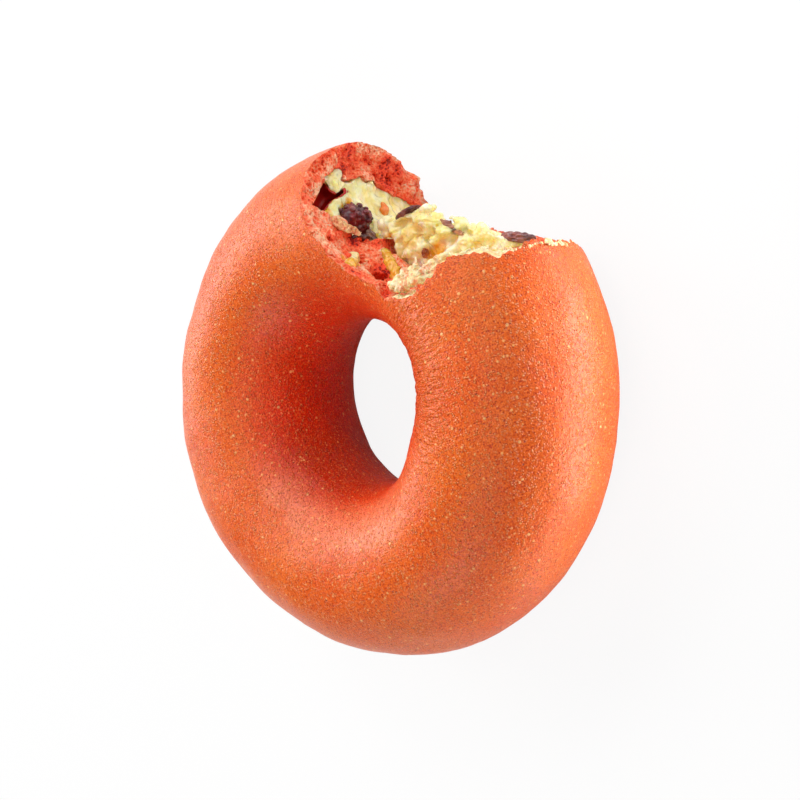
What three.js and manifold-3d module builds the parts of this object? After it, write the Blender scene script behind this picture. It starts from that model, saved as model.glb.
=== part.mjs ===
// A stuffed bagel that lies flat, with one bite taken out of its rim.
// Sizes are in millimetres and +Z is up. The ring is shaped round X = 0, Y = 0, and in the last
// lines the whole bagel is centred on its own outline, which the uneven dough leaves a little off.
import * as THREE from 'three';
import { mergeVertices } from 'three/addons/utils/BufferGeometryUtils.js';
import { ImprovedNoise } from 'three/addons/math/ImprovedNoise.js';
import Module from 'manifold-3d';

const manifold = await Module();
manifold.setup();
const noise = new ImprovedNoise();
const { lerp, smoothstep, degToRad, radToDeg } = THREE.MathUtils;

// The ring of dough: an oval section swept round the hole, flat where it lies on its underside.
// The flat blends into the round section over FLAT_FADE.
const OUTER_DIAMETER = 100;
const HOLE_DIAMETER = 32;
const HEIGHT = 38.7;
const SECTION_HALF_HEIGHT = 19.8;
const TUBE_HALF_WIDTH = (OUTER_DIAMETER - HOLE_DIAMETER) / 4;
const RING_RADIUS = (OUTER_DIAMETER + HOLE_DIAMETER) / 4;
const MID_HEIGHT = HEIGHT - SECTION_HALF_HEIGHT;
const FLAT_FADE = 3;

// How the shaping by hand left the ring uneven: each wave goes round it a number of times, changes
// the size by a share of itself, and peaks at an angle in degrees.
const THICKNESS_WAVES = [
  { times: 1, share: 0.034, peak: -90 },
  { times: 2, share: 0.015, peak: -57 },
  { times: 3, share: 0.015, peak: -147 },
];
const ROUNDNESS_WAVES = [
  { times: 2, share: 0.009, peak: -168 },
  { times: 3, share: 0.012, peak: -66 },
  { times: 4, share: 0.007, peak: -80 },
];

// The filling: a soft core that runs round inside the dough, a little outside the middle of the tube.
// It leans outwards with height, and is wider and nearer the hole in three places round the ring.
const CORE_RADIUS = 35.4;
const CORE_HALF_WIDTH = 8.2;
const CORE_HALF_HEIGHT = 11.5;
const CORE_LIFT = 0.5;
const CORE_LEAN = 0.2;
const CORE_RADIUS_WAVES = [{ times: 3, share: 0.045, peak: 0 }];
const CORE_WIDTH_WAVES = [{ times: 3, share: 0.2, peak: -60 }];
const GAP = 0.3;

// The bite: a round mouth that is centred just past the rim and goes right down through the ring.
// Angles round its middle are in degrees, from the direction of the ring's axis.
const BITE_DIRECTION = degToRad(-45);
const BITE_CENTRE_RADIUS = 52;
const BITE_RADIUS = 27.8;
const BITE_CENTRE = new THREE.Vector2(
  BITE_CENTRE_RADIUS * Math.cos(BITE_DIRECTION),
  BITE_CENTRE_RADIUS * Math.sin(BITE_DIRECTION),
);
const BITE_OVERRUN = 6;
const NARROWING = { depth: 1.3, from: -5, to: 25 };
const TOOTH = { depth: 3.4, angle: 48, halfAngle: 21 };

// In the middle of the mouth the bite is shallower for the filling, and for the dough under it.
const DOUGH_LEDGE = { radius: 17.6, from: -38, full: -5, fade: 36, to: 72 };
const DOUGH_LEDGE_SLOPE = { low: 0, high: 9 };
const FILLING_LEDGE = { radius: 15.9, from: -44, full: -14, fade: 30, to: 78 };
const FILLING_UNDERCUT = { depth: 3, height: 9 };

// The top of the filling that was left standing in the mouth, with a trench down one side of it
// and a slight fall away from the trench.
const HEAP_HEIGHT = 2.4;
const HEAP_FALL = 0.05;
const TRENCH = { x: 4, y: 34.7, direction: degToRad(27.4), depth: 12, width: 4 };
const HEAP_AREA = { left: -6, right: 52, near: 12, far: 54, ceiling: 30 };

// The torn surfaces: crags in the crumb, and rounded lumps in the filling. Where the filling was
// bitten through with the dough, its face is smoother and lies a little behind the dough's.
const CRUMB_CRAGS = [{ span: 6, depth: 1.3 }, { span: 2.9, depth: 0.9 }];
const FILLING_LUMPS = [{ span: 5.5, depth: 3.2 }, { span: 2.7, depth: 1.2 }];
const FACE_LUMP_SHARE = 0.33;
const FACE_SETBACK = 0.6;

// The view straight down with the mouth at the top right, in which small things in it are placed.
// Heights there are over the ring's middle.
const VIEW_TURN = degToRad(-104.3);

// The pocket of air that the bite opened between the filling and the dough, at one side of the mouth.
const AIR_POCKET = { x: -0.5, y: 38.9, height: 11.4, size: [5.5, 4.4, 2.3], lean: degToRad(-44) };

// Dried berries in the filling: place in that view, half sizes, turn about the vertical axis and lean.
const BERRIES = [
  { name: 'berry_whole', x: 0.6, y: 35, height: 4.4, size: [3.2, 3.3, 4.7], turn: 0, lean: 12 },
  { name: 'berry_split', x: 10.6, y: 34.2, height: 2.2, size: [3.3, 1.2, 1.1], turn: 14, lean: -20 },
  { name: 'berry_sunk', x: 22.8, y: 30.3, height: 3, size: [3.7, 1.3, 1.3], turn: -33, lean: 0 },
  { name: 'berry_end', x: 37.4, y: 26.3, height: 2.4, size: [3.8, 1.5, 1.4], turn: -14, lean: 0 },
  { name: 'berry_scrap', x: 16.2, y: 26.6, height: 4, size: [1.1, 1.3, 1.3], turn: 0, lean: 0 },
];
const BERRY_DETAIL = 2;
const BERRY_WRINKLE = { span: 0.55, depth: 0.14 };

// How finely each surface is divided.
const RING_STEPS = 72;
const SECTION_STEPS = 26;
const CORE_STEPS = 60;
const CORE_SECTION_STEPS = 14;
const BITE_STEPS = 104;
const BITE_LEVELS = 26;
const HEAP_STEP = 1.35;
const POCKET_STEPS = { around: 20, down: 12 };

const COLOURS = { dough: '#e2683c', filling: '#e8d58a', berry: '#4a1a20' };

// Geometry helpers

function pointAt(view) {
  const point = new THREE.Vector3(view.x, view.y, MID_HEIGHT + view.height);
  return point.applyAxisAngle(new THREE.Vector3(0, 0, 1), VIEW_TURN);
}

function layeredNoise(point, layers) {
  let sum = 0;
  for (const { span, depth } of layers) {
    sum += depth * noise.noise(point.x / span, point.y / span, point.z / span);
  }
  return sum;
}

function layeredLumps(point, layers) {
  let sum = 0;
  for (const { span, depth } of layers) {
    sum += depth * Math.abs(noise.noise(point.x / span, point.y / span, point.z / span));
  }
  return sum;
}

function movePoints(geometry, move) {
  const position = geometry.attributes.position;
  const point = new THREE.Vector3();
  for (let i = 0; i < position.count; i += 1) {
    point.fromBufferAttribute(position, i);
    move(point);
    position.setXYZ(i, point.x, point.y, point.z);
  }
  return geometry;
}

function mergedShape(geometry) {
  geometry.deleteAttribute('normal');
  geometry.deleteAttribute('uv');
  return mergeVertices(geometry);
}

function spun(profile, steps) {
  const geometry = new THREE.LatheGeometry(profile, steps);
  geometry.rotateX(Math.PI / 2);
  return mergedShape(geometry);
}

function toSolid(geometry) {
  const corners = geometry.index.array;
  const triangles = [];
  for (let i = 0; i < corners.length; i += 3) {
    const [a, b, c] = [corners[i], corners[i + 1], corners[i + 2]];
    if (a !== b && b !== c && c !== a) {
      triangles.push(a, b, c);
    }
  }
  const vertProperties = new Float32Array(geometry.attributes.position.array);
  const triVerts = new Uint32Array(triangles);
  return new manifold.Manifold(new manifold.Mesh({ numProp: 3, vertProperties, triVerts }));
}

function largestPiece(solid) {
  const pieces = solid.decompose();
  return pieces.reduce((best, piece) => (piece.volume() > best.volume() ? piece : best));
}

function namedMesh(name, solid, colour, roughness) {
  const mesh = solid.getMesh();
  const geometry = new THREE.BufferGeometry();
  geometry.setAttribute('position', new THREE.BufferAttribute(mesh.vertProperties, 3));
  geometry.setIndex(new THREE.BufferAttribute(mesh.triVerts, 1));
  geometry.computeVertexNormals();
  const material = new THREE.MeshStandardMaterial({ color: colour, roughness, metalness: 0 });
  const result = new THREE.Mesh(geometry, material);
  result.name = name;
  return result;
}

// The ring of dough

function ovalProfile({ radius, halfWidth, halfHeight, height, steps, floor = -Infinity }) {
  const flat = Math.max(-1, (floor - height) / halfHeight);
  const start = Math.asin(flat);
  const turn = flat > -1 ? Math.PI - 2 * start : 2 * Math.PI;
  const profile = [];
  for (let i = 0; i <= steps; i += 1) {
    const angle = start + (turn * i) / steps;
    const out = radius + halfWidth * Math.cos(angle);
    profile.push(new THREE.Vector2(out, height + halfHeight * Math.sin(angle)));
  }
  profile.push(profile[0].clone());
  return profile;
}

function waveSum(waves, around) {
  let sum = 0;
  for (const { times, share, peak } of waves) {
    sum += share * Math.cos(times * (around - degToRad(peak)));
  }
  return sum;
}

function moveToRadius(point, around, radius) {
  point.x = radius * Math.cos(around);
  point.y = radius * Math.sin(around);
}

function shapeByHand(point) {
  const around = Math.atan2(point.y, point.x);
  const outwards = Math.hypot(point.x, point.y) - RING_RADIUS;
  const thickness = waveSum(THICKNESS_WAVES, around);
  const ring = RING_RADIUS * (1 + waveSum(ROUNDNESS_WAVES, around));
  moveToRadius(point, around, ring + outwards * (1 + thickness));
  point.z += smoothstep(point.z, 0, FLAT_FADE) * (point.z - MID_HEIGHT) * thickness;
}

function doughRing() {
  const profile = ovalProfile({
    radius: RING_RADIUS,
    halfWidth: TUBE_HALF_WIDTH,
    halfHeight: SECTION_HALF_HEIGHT,
    height: MID_HEIGHT,
    steps: SECTION_STEPS,
    floor: 0,
  });
  return toSolid(movePoints(spun(profile, RING_STEPS), shapeByHand));
}

function coreRing(allowance) {
  const profile = ovalProfile({
    radius: CORE_RADIUS,
    halfWidth: CORE_HALF_WIDTH + allowance,
    halfHeight: CORE_HALF_HEIGHT + allowance,
    height: MID_HEIGHT + CORE_LIFT,
    steps: CORE_SECTION_STEPS,
  });
  const core = movePoints(spun(profile, CORE_STEPS), (point) => {
    const around = Math.atan2(point.y, point.x);
    const outwards = Math.hypot(point.x, point.y) - CORE_RADIUS;
    const middle = CORE_RADIUS * (1 + waveSum(CORE_RADIUS_WAVES, around));
    const width = 1 + waveSum(CORE_WIDTH_WAVES, around);
    const lean = CORE_LEAN * (point.z - MID_HEIGHT - CORE_LIFT);
    moveToRadius(point, around, middle + lean + outwards * width);
  });
  return toSolid(core);
}

// The bite

function mouthRadius(angle) {
  const narrowing = NARROWING.depth * smoothstep(angle, NARROWING.from, NARROWING.to);
  const fromTooth = Math.abs(angle - TOOTH.angle);
  const tooth = TOOTH.depth * (1 - smoothstep(fromTooth, 0, TOOTH.halfAngle));
  return BITE_RADIUS - narrowing - tooth;
}

function ledgeShare(angle, ledge) {
  return smoothstep(angle, ledge.from, ledge.full) * (1 - smoothstep(angle, ledge.fade, ledge.to));
}

// Each wall gives the mouth's radius at an angle round it and at a point on it.

function doughWall(angle, point) {
  const height = point.z - MID_HEIGHT;
  const under = 1 - smoothstep(height, DOUGH_LEDGE_SLOPE.low, DOUGH_LEDGE_SLOPE.high);
  const share = under * ledgeShare(angle, DOUGH_LEDGE);
  return lerp(mouthRadius(angle), DOUGH_LEDGE.radius, share) + layeredNoise(point, CRUMB_CRAGS);
}

function fillingFace(angle, point) {
  return mouthRadius(angle) + FACE_SETBACK - FACE_LUMP_SHARE * layeredLumps(point, FILLING_LUMPS);
}

function fillingWall(angle, point) {
  const below = MID_HEIGHT - point.z;
  const undercut = FILLING_UNDERCUT.depth * smoothstep(below, 0, FILLING_UNDERCUT.height);
  const ledge = FILLING_LEDGE.radius + undercut - layeredLumps(point, FILLING_LUMPS);
  return lerp(fillingFace(angle, point), ledge, ledgeShare(angle, FILLING_LEDGE));
}

function biteDrum(wallRadius) {
  const floor = -BITE_OVERRUN;
  const ceiling = HEIGHT + BITE_OVERRUN;
  const profile = [new THREE.Vector2(0, floor)];
  for (let i = 0; i <= BITE_LEVELS; i += 1) {
    profile.push(new THREE.Vector2(BITE_RADIUS, lerp(floor, ceiling, i / BITE_LEVELS)));
  }
  profile.push(new THREE.Vector2(0, ceiling));
  const inward = BITE_DIRECTION + Math.PI;
  const drum = movePoints(spun(profile, BITE_STEPS), (point) => {
    if (Math.hypot(point.x, point.y) > 1) {
      const around = Math.atan2(point.y, point.x);
      const turned = Math.atan2(Math.sin(around - inward), Math.cos(around - inward));
      const onWall = new THREE.Vector3(BITE_CENTRE.x + point.x, BITE_CENTRE.y + point.y, point.z);
      moveToRadius(point, around, wallRadius(radToDeg(turned), onWall));
    }
    point.x += BITE_CENTRE.x;
    point.y += BITE_CENTRE.y;
  });
  return toSolid(drum);
}

function heapTop(x, y) {
  const across = (x - TRENCH.x) * Math.cos(TRENCH.direction) + (y - TRENCH.y) * Math.sin(TRENCH.direction);
  const trench = TRENCH.depth * (1 - smoothstep(across, -TRENCH.width / 2, TRENCH.width / 2));
  const lumps = layeredLumps(new THREE.Vector3(x, y, 0), FILLING_LUMPS);
  return MID_HEIGHT + HEAP_HEIGHT - HEAP_FALL * (x - TRENCH.x) - trench + lumps;
}

function spaceOverHeap() {
  const width = HEAP_AREA.right - HEAP_AREA.left;
  const depth = HEAP_AREA.far - HEAP_AREA.near;
  const steps = [Math.round(width / HEAP_STEP), Math.round(depth / HEAP_STEP)];
  const block = mergedShape(new THREE.BoxGeometry(width, depth, 2, ...steps, 1));
  movePoints(block, (point) => {
    point.x += (HEAP_AREA.left + HEAP_AREA.right) / 2;
    point.y += (HEAP_AREA.near + HEAP_AREA.far) / 2;
    point.z = point.z > 0 ? MID_HEIGHT + HEAP_AREA.ceiling : heapTop(point.x, point.y);
  });
  return toSolid(block.rotateZ(VIEW_TURN));
}

function airPocket() {
  const geometry = mergedShape(new THREE.SphereGeometry(1, POCKET_STEPS.around, POCKET_STEPS.down));
  geometry.scale(...AIR_POCKET.size);
  geometry.rotateX(AIR_POCKET.lean);
  geometry.rotateZ(VIEW_TURN);
  const centre = pointAt(AIR_POCKET);
  geometry.translate(centre.x, centre.y, centre.z);
  return toSolid(geometry);
}

// The dried berries

function berry(place, allowance) {
  const geometry = mergedShape(new THREE.IcosahedronGeometry(1, BERRY_DETAIL));
  movePoints(geometry, (point) => {
    const outwards = point.clone();
    point.multiplyScalar(1 + layeredNoise(point, [BERRY_WRINKLE]));
    point.multiply(new THREE.Vector3(...place.size));
    point.addScaledVector(outwards, allowance);
  });
  geometry.rotateY(degToRad(place.lean));
  geometry.rotateZ(degToRad(place.turn) + VIEW_TURN);
  const centre = pointAt(place);
  geometry.translate(centre.x, centre.y, centre.z);
  return toSolid(geometry);
}

// The whole bagel

function buildBagel() {
  const bagel = new THREE.Group();
  const pocket = airPocket();
  const dough = doughRing().subtract(biteDrum(doughWall)).subtract(coreRing(GAP)).subtract(pocket);
  bagel.add(namedMesh('bread', largestPiece(dough), COLOURS.dough, 0.5));
  const overHeap = spaceOverHeap().intersect(biteDrum(fillingFace));
  let filling = coreRing(0).subtract(biteDrum(fillingWall)).subtract(overHeap).subtract(pocket);
  for (const place of BERRIES) {
    filling = filling.subtract(berry(place, GAP));
    bagel.add(namedMesh(place.name, berry(place, 0), COLOURS.berry, 0.35));
  }
  bagel.add(namedMesh('filling', largestPiece(filling), COLOURS.filling, 0.35));
  const middle = new THREE.Box3().setFromObject(bagel).getCenter(new THREE.Vector3());
  bagel.position.set(-middle.x, -middle.y, 0);
  return bagel;
}

export default buildBagel();
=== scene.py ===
# A stuffed bagel that lies flat, with one bite out of its rim and the filling standing in the bite.
# Pieces are shaped on a bench in millimetres: the ring seen straight down with the bite at the top
# right, and the origin in the middle of the ring at half its height. The last step settles each
# finished piece in its place in the frame, in metres.
import math

import bpy
import numpy as np
from mathutils import Matrix, Vector, noise
from mathutils.bvhtree import BVHTree


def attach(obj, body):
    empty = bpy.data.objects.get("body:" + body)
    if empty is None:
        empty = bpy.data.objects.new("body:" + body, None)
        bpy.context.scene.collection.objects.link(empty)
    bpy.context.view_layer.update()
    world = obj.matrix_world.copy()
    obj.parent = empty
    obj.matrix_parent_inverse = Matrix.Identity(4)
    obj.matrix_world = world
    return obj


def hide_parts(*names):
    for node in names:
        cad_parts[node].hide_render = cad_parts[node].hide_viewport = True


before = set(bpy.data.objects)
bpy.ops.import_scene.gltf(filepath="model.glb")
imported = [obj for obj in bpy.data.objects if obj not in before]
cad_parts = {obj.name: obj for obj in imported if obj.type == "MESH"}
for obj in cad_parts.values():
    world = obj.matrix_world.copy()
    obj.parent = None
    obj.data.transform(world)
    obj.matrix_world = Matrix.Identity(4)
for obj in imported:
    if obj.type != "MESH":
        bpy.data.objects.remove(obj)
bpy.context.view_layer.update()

# The ring of dough, as in the part: an oval section swept round the hole, flat underneath.
OUTER_DIAMETER = 100
HOLE_DIAMETER = 32
HEIGHT = 38.7
SECTION_HALF_HEIGHT = 19.8
TUBE_HALF_WIDTH = (OUTER_DIAMETER - HOLE_DIAMETER) / 4
RING_RADIUS = (OUTER_DIAMETER + HOLE_DIAMETER) / 4
MID_HEIGHT = HEIGHT - SECTION_HALF_HEIGHT
FLAT_FADE = 3

# The bench is turned against the part's own frame, so directions from the part are turned too.
VIEW_TURN = -104.3

# Waves round the ring: times round, share of the size, and peak in the part's degrees.
THICKNESS_WAVES = ((1, 0.034, -90), (2, 0.015, -57), (3, 0.015, -147))
ROUNDNESS_WAVES = ((2, 0.009, -168), (3, 0.012, -66), (4, 0.007, -80))

# The filling's core inside the dough.
CORE_RADIUS = 35.4
CORE_HALF_WIDTH = 8.2
CORE_HALF_HEIGHT = 11.5
CORE_LIFT = 0.5
CORE_LEAN = 0.2
CORE_RADIUS_WAVES = ((3, 0.045, 0),)
CORE_WIDTH_WAVES = ((3, 0.2, -60),)

# The bite: a round mouth with its middle just past the rim.
BITE_DIRECTION = math.radians(-45 - VIEW_TURN)
BITE_CENTRE_RADIUS = 52
BITE_RADIUS = 27.8
BITE_CENTRE = BITE_CENTRE_RADIUS * np.array([math.cos(BITE_DIRECTION), math.sin(BITE_DIRECTION)])
BITE_OVERRUN = 6
NARROWING_DEPTH, NARROWING_FROM, NARROWING_TO = 1.3, -5, 25
TOOTH_DEPTH, TOOTH_ANGLE, TOOTH_HALF_ANGLE = 3.4, 48, 21
LEDGE_RADIUS, LEDGE_FROM, LEDGE_FULL, LEDGE_FADE, LEDGE_TO = 17.6, -38, -5, 36, 72
LEDGE_LOW, LEDGE_HIGH = 0, 9

# Where the skin has broken away from the crumb on the near side, and where it bulges over the crumb
# on the left: the depth, and fades by the angle round the bite and by height.
SKIN_EDGES = (
    (1.5, (8, 16), (41, 46), (11, 19)),
    (-1, (-60, -50), (8, 14), (11, 17)),
)
SKIN_THICKNESS = 0.05

# Creases in the skin across the near lip of the hole, with fades by radius, direction and height.
CREASE_STRETCH = 0.25
LIP_DIRECTION = 8
LIP_RADIUS = 26
LIP_RISE, LIP_FALL, LIP_SIDES, LIP_HEIGHT = (16, 19), (27, 35), (12, 45), (4, 12)

# The far wall of the hole, where the crust is painted darker as shade, and a painted sheen below the hole,
# paler up to a wavy edge on the crown.
FAR_WALL_DIRECTION = 235
FAR_WALL_SHADE = 0.8
FAR_WALL_SIDES = (15, 60)
PAINTED_SHEEN_RADIUS = 25.2
PAINTED_SHEEN_GROWTH = 0.075
PAINTED_SHEEN_RISE, PAINTED_SHEEN_FALL, PAINTED_SHEEN_START, PAINTED_SHEEN_HEIGHT = (205, 228), (285, 330), (17.5, 23), (8, 13)

# The pale crumb of the near side: fades by the angle round the bite and by height, and how far the
# pale part reaches down towards the rim.
CREAM_RISE, CREAM_FALL, CREAM_HEIGHT = (13, 20), (92, 105), (2, 6)
CREAM_DROP, CREAM_DROP_RISE = 14, (55, 75)

# How finely each surface is divided.
RING_STEPS = 256
SECTION_STEPS = 64
CORE_STEPS = 120
CORE_SECTION_STEPS = 36
BITE_ARC = 112
BITE_CELL = 0.27
BACK_STEPS = 40
CHEESE_CELL = 0.26
SMEAR_CELL = 0.16
FRINGE_CELL = 0.14
BERRY_CELL = 0.13


# Small helpers

def smoothstep(value, low, high):
    share = np.clip((value - low) / (high - low), 0, 1)
    return share * share * (3 - 2 * share)


def between(value, rise, fall):
    """1 between two fades and 0 outside them. Each fade is where it starts and where it ends."""
    return smoothstep(value, *rise) * (1 - smoothstep(value, *fall))


def radius_of(points):
    return np.hypot(points[:, 0], points[:, 1])


def around_of(points):
    """The direction of each point from the middle of the ring, in radians."""
    return np.arctan2(points[:, 1], points[:, 0])


def direction_of(points):
    """The same direction in degrees from 0 to 360."""
    return np.degrees(around_of(points)) % 360


def swept(radius, around, height):
    """Points at a distance from the middle of the ring, in a direction and at a height."""
    return np.column_stack([radius * np.cos(around), radius * np.sin(around), height])


def wave_sum(waves, around):
    total = np.zeros_like(around)
    for times, share, peak in waves:
        total += share * np.cos(times * (around - math.radians(peak - VIEW_TURN)))
    return total


def layered_noise(points, layers, seed=0):
    total = np.zeros(len(points))
    for span, depth in layers:
        offset = Vector((seed * 17.3, seed * -9.1, seed * 5.7))
        total += depth * np.array([noise.noise(Vector(point) / span + offset) for point in points])
    return total


def points_of(piece):
    points = np.empty(len(piece.data.vertices) * 3)
    piece.data.vertices.foreach_get("co", points)
    return points.reshape(-1, 3)


def set_points(piece, points):
    piece.data.vertices.foreach_set("co", np.asarray(points, float).ravel())
    piece.data.update()


def normals_of(piece):
    normals = np.empty(len(piece.data.vertices) * 3, np.float32)
    piece.data.vertex_normals.foreach_get("vector", normals)
    return normals.reshape(-1, 3).astype(float)


def store(piece, **marks):
    """Stores the marks that materials read, each one value for all points or one for each."""
    for name, values in marks.items():
        attribute = piece.data.attributes.new(name, "FLOAT", "POINT")
        spread = np.zeros(len(piece.data.vertices)) + values
        attribute.data.foreach_set("value", spread.astype(np.float32))


def push_out(piece, relief):
    """Moves each point of a piece outwards by its own relief."""
    set_points(piece, points_of(piece) + normals_of(piece) * relief[:, None])


def roughen(piece, layers, seed):
    push_out(piece, layered_noise(points_of(piece), layers, seed))


def coated(piece, name, material):
    """The piece, with its name and its material."""
    piece.name = piece.data.name = name
    piece.data.materials.clear()
    piece.data.materials.append(material)
    return piece


def select_only(piece):
    bpy.ops.object.select_all(action="DESELECT")
    piece.select_set(True)
    bpy.context.view_layer.objects.active = piece


def new_piece(name):
    piece = bpy.context.object
    piece.name = piece.data.name = name
    return piece


def edit_all(piece):
    select_only(piece)
    bpy.ops.object.mode_set(mode="EDIT")
    bpy.ops.mesh.select_all(action="SELECT")


def end_edit():
    bpy.ops.object.mode_set(mode="OBJECT")


def close_shell():
    """Ends an edit with every face a triangle that points outwards."""
    bpy.ops.mesh.select_all(action="SELECT")
    bpy.ops.mesh.quads_convert_to_tris()
    bpy.ops.mesh.normals_make_consistent(inside=False)
    end_edit()


def subdivide(piece, cuts=1):
    edit_all(piece)
    bpy.ops.mesh.subdivide(number_cuts=cuts)
    end_edit()


def apply_modifier(piece, kind, **settings):
    select_only(piece)
    modifier = piece.modifiers.new(kind.lower(), kind)
    for name, value in settings.items():
        setattr(modifier, name, value)
    bpy.ops.object.modifier_apply(modifier=modifier.name)


def combine(piece, tool, operation):
    apply_modifier(piece, "BOOLEAN", operation=operation, solver="MANIFOLD", object=tool)
    bpy.data.objects.remove(tool)


def cut(piece, tool):
    combine(piece, tool, "DIFFERENCE")


def soften(piece, times):
    apply_modifier(piece, "SMOOTH", factor=0.5, iterations=times)


# Shapes shared with the part

def mouth_radius(angle):
    narrowing = NARROWING_DEPTH * smoothstep(angle, NARROWING_FROM, NARROWING_TO)
    tooth = TOOTH_DEPTH * (1 - smoothstep(np.abs(angle - TOOTH_ANGLE), 0, TOOTH_HALF_ANGLE))
    return BITE_RADIUS - narrowing - tooth


def shape_by_hand(points):
    around = around_of(points)
    outwards = radius_of(points) - RING_RADIUS
    thickness = wave_sum(THICKNESS_WAVES, around)
    radius = RING_RADIUS * (1 + wave_sum(ROUNDNESS_WAVES, around)) + outwards * (1 + thickness)
    height = points[:, 2]
    height = height + smoothstep(height + MID_HEIGHT, 0, FLAT_FADE) * height * thickness
    return swept(radius, around, height)


def dough_ring():
    bpy.ops.mesh.primitive_torus_add(
        major_radius=RING_RADIUS,
        minor_radius=TUBE_HALF_WIDTH,
        major_segments=RING_STEPS,
        minor_segments=SECTION_STEPS,
    )
    ring = new_piece("bagel_bread")
    subdivide(ring)
    points = points_of(ring)
    points[:, 2] *= SECTION_HALF_HEIGHT / TUBE_HALF_WIDTH
    points[:, 2] = np.maximum(points[:, 2], -MID_HEIGHT)
    set_points(ring, shape_by_hand(points))
    return ring


def core_ring(allowance):
    bpy.ops.mesh.primitive_torus_add(
        major_radius=CORE_RADIUS,
        minor_radius=CORE_HALF_WIDTH,
        major_segments=CORE_STEPS,
        minor_segments=CORE_SECTION_STEPS,
    )
    core = new_piece("core")
    points = points_of(core)
    around = around_of(points)
    outwards = radius_of(points) - CORE_RADIUS
    outwards *= (CORE_HALF_WIDTH + allowance) / CORE_HALF_WIDTH
    outwards *= 1 + wave_sum(CORE_WIDTH_WAVES, around)
    height = points[:, 2] * (CORE_HALF_HEIGHT + allowance) / CORE_HALF_WIDTH
    radius = CORE_RADIUS * (1 + wave_sum(CORE_RADIUS_WAVES, around)) + CORE_LEAN * height + outwards
    set_points(core, swept(radius, around, height + CORE_LIFT))
    return core


def bite_drum(wall_radius):
    """A closed drum round the bite's middle, fine where it cuts the ring and coarse behind."""
    steps = round(2 * math.radians(BITE_ARC) * BITE_RADIUS / BITE_CELL)
    levels = round((HEIGHT + 2 * BITE_OVERRUN) / BITE_CELL)
    bpy.ops.mesh.primitive_grid_add(size=2, x_subdivisions=steps + BACK_STEPS, y_subdivisions=levels)
    drum = new_piece("drum")
    points = points_of(drum)
    step = (points[:, 0] + 1) / 2 * (steps + BACK_STEPS)
    angle = np.interp(step, (0, steps, steps + BACK_STEPS), (-BITE_ARC, BITE_ARC, 360 - BITE_ARC))
    height = points[:, 1] * (HEIGHT / 2 + BITE_OVERRUN) + HEIGHT / 2 - MID_HEIGHT
    around = np.radians(angle) + BITE_DIRECTION + math.pi
    centre = np.array([*BITE_CENTRE, 0])
    wall = centre + swept(BITE_RADIUS, around, height)
    radius = wall_radius(np.where(angle > 180, angle - 360, angle), wall)
    set_points(drum, centre + swept(radius, around, height))
    edit_all(drum)
    bpy.ops.mesh.remove_doubles(threshold=0.01)
    bpy.ops.mesh.select_all(action="DESELECT")
    bpy.ops.mesh.select_non_manifold()
    bpy.ops.mesh.edge_face_add()
    close_shell()
    return drum


def dough_wall(angle, wall):
    """How far the torn wall stands from the bite's middle: ragged at the skin, calmer near the top."""
    under = 1 - smoothstep(wall[:, 2], LEDGE_LOW, LEDGE_HIGH)
    share = under * between(angle, (LEDGE_FROM, LEDGE_FULL), (LEDGE_FADE, LEDGE_TO))
    radius = mouth_radius(angle) * (1 - share) + LEDGE_RADIUS * share
    for depth, rise, fall, heights in SKIN_EDGES:
        radius = radius + depth * between(angle, rise, fall) * smoothstep(wall[:, 2], *heights)
    ragged = 1 - smoothstep(np.abs(skin_depth(wall)), 0.2, 1.8)
    radius = radius + ragged * layered_noise(wall, ((1.6, 0.45), (0.8, 0.4)), 14)
    calm = 1 - 0.6 * smoothstep(wall[:, 2], 13, 18)
    return radius + calm * layered_noise(wall, ((6, 1.3), (2.9, 0.9), (1.3, 0.7)))


# The bread: torn crumb inside, a thin baked skin outside.

# Holes left by bubbles low in the crumb: the middle and half sizes of each.
PITS = (
    ((8.2, 22.2, 8.2), (2.2, 1.2, 2)),
    ((3.6, 30.1, 16.4), (1.2, 0.8, 0.9)),
    ((5, 30, 7), (1.6, 1, 2.4)),
)
# Where the crumb is painted darker red as shade in its holes and hollows, where it is golden, and where it is
# wet: x, y, z and radius.
PAINTED_PIT_SHADE = (
    (-1, 47, 5, 4), (-0.5, 44, -7, 5), (8.2, 22.4, 8, 3.4),
    (3.4, 30.1, 16.2, 1.6), (5.6, 29.9, 5, 3), (3.4, 30, 9, 2),
)
CRUMB_GOLD = ((6, 25.7, 16, 1.8), (5, 26.5, 16.5, 1.2))
WET_CRUMB = ((-1.2, 43.6, 12.6, 2.6), (-1.5, 40, 14.5, 2.6), (6, 25.7, 16, 2.4))


def skin_depth(points):
    """How far each point lies under the skin, in millimetres."""
    around = around_of(points)
    thickness = wave_sum(THICKNESS_WAVES, around)
    ring = RING_RADIUS * (1 + wave_sum(ROUNDNESS_WAVES, around))
    outwards = (radius_of(points) - ring) / (1 + thickness)
    height = points[:, 2] / (1 + thickness)
    share = np.hypot(outwards / TUBE_HALF_WIDTH, height / SECTION_HALF_HEIGHT)
    side = (1 - share) * TUBE_HALF_WIDTH
    return np.minimum(side, points[:, 2] + MID_HEIGHT)


def bubbles(points, span, warp):
    """Bubble walls at 0 and bubble middles at 1, and a number for each bubble."""
    middles = np.empty(len(points))
    numbers = np.empty(len(points))
    for i, point in enumerate(points):
        place = Vector(point) / span
        place += warp * noise.noise_vector(place * 1.3)
        distances, centres = noise.voronoi(place)
        middles[i] = distances[1] - distances[0]
        numbers[i] = noise.cell(centres[0] * 7.1)
    return smoothstep(middles, 0.02, 0.5), numbers


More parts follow.
